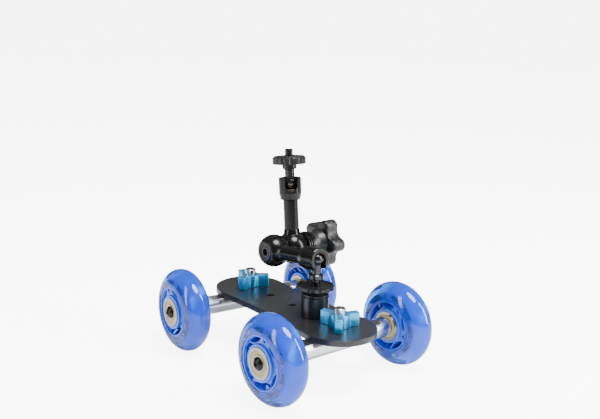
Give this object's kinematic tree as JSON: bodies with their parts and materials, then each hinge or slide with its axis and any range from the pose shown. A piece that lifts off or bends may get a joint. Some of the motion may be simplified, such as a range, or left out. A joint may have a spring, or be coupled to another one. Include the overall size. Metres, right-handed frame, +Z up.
{
  "type": "skater camera slider",
  "caption": "Table-top skater camera slider: a waisted deck on steerable wheel axles, with a jointed friction arm ending in a camera screw.",
  "frame": {"origin": "on the floor, midway between the two axle pivots and between the left and right wheels", "axes": "+X along the deck, towards the end with the arm; +Y along the axles, towards the elbow's star knob; +Z up"},
  "size_m": [0.1812, 0.1492, 0.157],
  "materials": {
    "black_anodised_deck": "satin black anodised plate with bare edges to its holes",
    "black_post": "fine turned, black anodised",
    "bright_bar": "bright turned aluminium",
    "blue_anodised": "bright blue anodised",
    "bright_screw": "bright plated steel",
    "plain_steel": "plain machined steel",
    "black_steel": "black oxide steel",
    "bearing_steel": "ground bearing steel",
    "bearing_shield": "cream bearing seal",
    "blue_polyurethane": "glossy translucent blue polyurethane",
    "blue_core": "glossy moulded blue plastic",
    "black_arm": "glossy black anodised",
    "black_disc": "satin black anodised",
    "black_rubber": "matt black rubber",
    "bronze": "turned bronze",
    "brass_nut": "turned brass",
    "charcoal_plastic": "fine textured charcoal plastic"
  },
  "bodies": {
    "deck": {"deck_plate": "black_anodised_deck", "arm_post": "black_post", "post_stud": "plain_steel"},
    "front_axle": {"front_axle_bar": "bright_bar", "front_bearing_inner_rings": "bearing_steel", "front_bearing_spacers": "plain_steel", "front_wheel_screws": "black_steel"},
    "front_knob": {"front_clamp_knob": "blue_anodised", "front_clamp_screw": "bright_screw"},
    "rear_axle": {"rear_axle_bar": "bright_bar", "rear_bearing_inner_rings": "bearing_steel", "rear_bearing_spacers": "plain_steel", "rear_wheel_screws": "black_steel"},
    "rear_knob": {"rear_clamp_knob": "blue_anodised", "rear_clamp_screw": "bright_screw"},
    "front_left_wheel": {"front_left_tyre": "blue_polyurethane", "front_left_core": "blue_core", "front_left_bearing_rings": "bearing_steel", "front_left_bearing_shields": "bearing_shield"},
    "front_left_balls": {"front_left_bearing_balls": "bearing_steel"},
    "front_right_wheel": {"front_right_tyre": "blue_polyurethane", "front_right_core": "blue_core", "front_right_bearing_rings": "bearing_steel", "front_right_bearing_shields": "bearing_shield"},
    "front_right_balls": {"front_right_bearing_balls": "bearing_steel"},
    "rear_left_wheel": {"rear_left_tyre": "blue_polyurethane", "rear_left_core": "blue_core", "rear_left_bearing_rings": "bearing_steel", "rear_left_bearing_shields": "bearing_shield"},
    "rear_left_balls": {"rear_left_bearing_balls": "bearing_steel"},
    "rear_right_wheel": {"rear_right_tyre": "blue_polyurethane", "rear_right_core": "blue_core", "rear_right_bearing_rings": "bearing_steel", "rear_right_bearing_shields": "bearing_shield"},
    "rear_right_balls": {"rear_right_bearing_balls": "bearing_steel"},
    "arm_base": {"lower_ball_stud": "black_steel"},
    "lower_disc": {"lower_locking_disc": "black_disc", "lower_disc_pad": "black_rubber"},
    "lower_arm": {"lower_arm_socket": "black_arm", "lower_ball_seat": "bronze", "lower_push_rod": "plain_steel", "lower_elbow_housing": "black_arm", "lower_cone": "plain_steel", "elbow_bolt": "black_steel", "elbow_end_cap": "charcoal_plastic", "elbow_friction_washer": "bronze"},
    "upper_arm": {"upper_elbow_housing": "black_arm", "upper_cone": "plain_steel", "upper_arm_socket": "black_arm", "upper_ball_seat": "bronze", "upper_push_rod": "plain_steel", "elbow_spring_washers": "black_steel"},
    "thrust_washer": {"elbow_thrust_washer": "black_steel"},
    "elbow_knob": {"star_knob": "charcoal_plastic", "star_knob_nut": "brass_nut"},
    "camera_arm_end": {"upper_ball_stud": "black_steel"},
    "camera_disc": {"upper_locking_disc": "black_disc", "upper_disc_pad": "black_rubber"}
  },
  "joints": [
    {"name": "front_axle_steer", "type": "hinge", "parent": "deck", "child": "front_axle", "pos_m": [0.056, 0, 0.0375], "axis": [0, 0, 1], "range_deg": [-27.5, 22.5]},
    {"name": "front_knob_turn", "type": "hinge", "parent": "front_axle", "child": "front_knob", "pos_m": [0.056, 0, 0.047], "axis": [0, 0, 1], "range_deg": [0, 360]},
    {"name": "rear_axle_steer", "type": "hinge", "parent": "deck", "child": "rear_axle", "pos_m": [-0.056, 0, 0.0375], "axis": [0, 0, 1], "range_deg": [-8.5, 27.5]},
    {"name": "rear_knob_turn", "type": "hinge", "parent": "rear_axle", "child": "rear_knob", "pos_m": [-0.056, 0, 0.047], "axis": [0, 0, 1], "range_deg": [0, 360]},
    {"name": "front_left_spin", "type": "hinge", "parent": "front_axle", "child": "front_left_wheel", "pos_m": [0.05338, 0.05994, 0.032], "axis": [-0.0436, 0.999, 0], "continuous": true},
    {"name": "front_left_balls_roll", "type": "hinge", "parent": "front_axle", "child": "front_left_balls", "pos_m": [0.05338, 0.05994, 0.032], "axis": [-0.0436, 0.999, 0], "continuous": true},
    {"name": "front_right_spin", "type": "hinge", "parent": "front_axle", "child": "front_right_wheel", "pos_m": [0.05862, -0.05994, 0.032], "axis": [-0.0436, 0.999, 0], "continuous": true},
    {"name": "front_right_balls_roll", "type": "hinge", "parent": "front_axle", "child": "front_right_balls", "pos_m": [0.05862, -0.05994, 0.032], "axis": [-0.0436, 0.999, 0], "continuous": true},
    {"name": "rear_left_spin", "type": "hinge", "parent": "rear_axle", "child": "rear_left_wheel", "pos_m": [-0.05338, 0.05994, 0.032], "axis": [0.0436, 0.999, 0], "continuous": true},
    {"name": "rear_left_balls_roll", "type": "hinge", "parent": "rear_axle", "child": "rear_left_balls", "pos_m": [-0.05338, 0.05994, 0.032], "axis": [0.0436, 0.999, 0], "continuous": true},
    {"name": "rear_right_spin", "type": "hinge", "parent": "rear_axle", "child": "rear_right_wheel", "pos_m": [-0.05862, -0.05994, 0.032], "axis": [0.0436, 0.999, 0], "continuous": true},
    {"name": "rear_right_balls_roll", "type": "hinge", "parent": "rear_axle", "child": "rear_right_balls", "pos_m": [-0.05862, -0.05994, 0.032], "axis": [0.0436, 0.999, 0], "continuous": true},
    {"name": "arm_pan", "type": "hinge", "parent": "deck", "child": "arm_base", "pos_m": [0.028, 0, 0.0605], "axis": [0, 0, 1], "range_deg": [-45, 135]},
    {"name": "lower_disc_turn", "type": "hinge", "parent": "arm_base", "child": "lower_disc", "pos_m": [0.028, 0, 0.0635], "axis": [0, 0, 1], "range_deg": [0, 360]},
    {"name": "lower_arm_tilt", "type": "hinge", "parent": "arm_base", "child": "lower_arm", "pos_m": [0.028, 0, 0.085], "axis": [-0.0227, 0.9997, 0], "range_deg": [-2, 96]},
    {"name": "elbow_bend", "type": "hinge", "parent": "lower_arm", "child": "upper_arm", "pos_m": [-0.02291, 0.00785, 0.07967], "axis": [-0.0227, 0.9997, 0], "range_deg": [-90, 50]},
    {"name": "thrust_washer_slide", "type": "slide", "parent": "upper_arm", "child": "thrust_washer", "axis": [-0.0227, 0.9997, 0], "range_m": [0, 0.00105]},
    {"name": "star_knob_turn", "type": "hinge", "parent": "thrust_washer", "child": "elbow_knob", "pos_m": [-0.02373, 0.04384, 0.07967], "axis": [-0.0227, 0.9997, 0], "range_deg": [0, 360]},
    {"name": "camera_tilt", "type": "hinge", "parent": "upper_arm", "child": "camera_arm_end", "pos_m": [-0.02845, 0.01672, 0.13039], "axis": [0.4775, 0.8771, 0.0523], "range_deg": [0, 90]},
    {"name": "camera_disc_turn", "type": "hinge", "parent": "camera_arm_end", "child": "camera_disc", "pos_m": [-0.03038, 0.01668, 0.14879], "axis": [-0.1045, -0.0024, 0.9945], "range_deg": [0, 360]}
  ],
  "couplings": [
    {"joint": "front_left_balls_roll", "follows": "front_left_spin", "ratio": 0.632},
    {"joint": "front_right_balls_roll", "follows": "front_right_spin", "ratio": 0.632},
    {"joint": "rear_left_balls_roll", "follows": "rear_left_spin", "ratio": 0.632},
    {"joint": "rear_right_balls_roll", "follows": "rear_right_spin", "ratio": 0.632},
    {"joint": "thrust_washer_slide", "follows": "star_knob_turn", "m_per_rad": 0.000159}
  ]
}
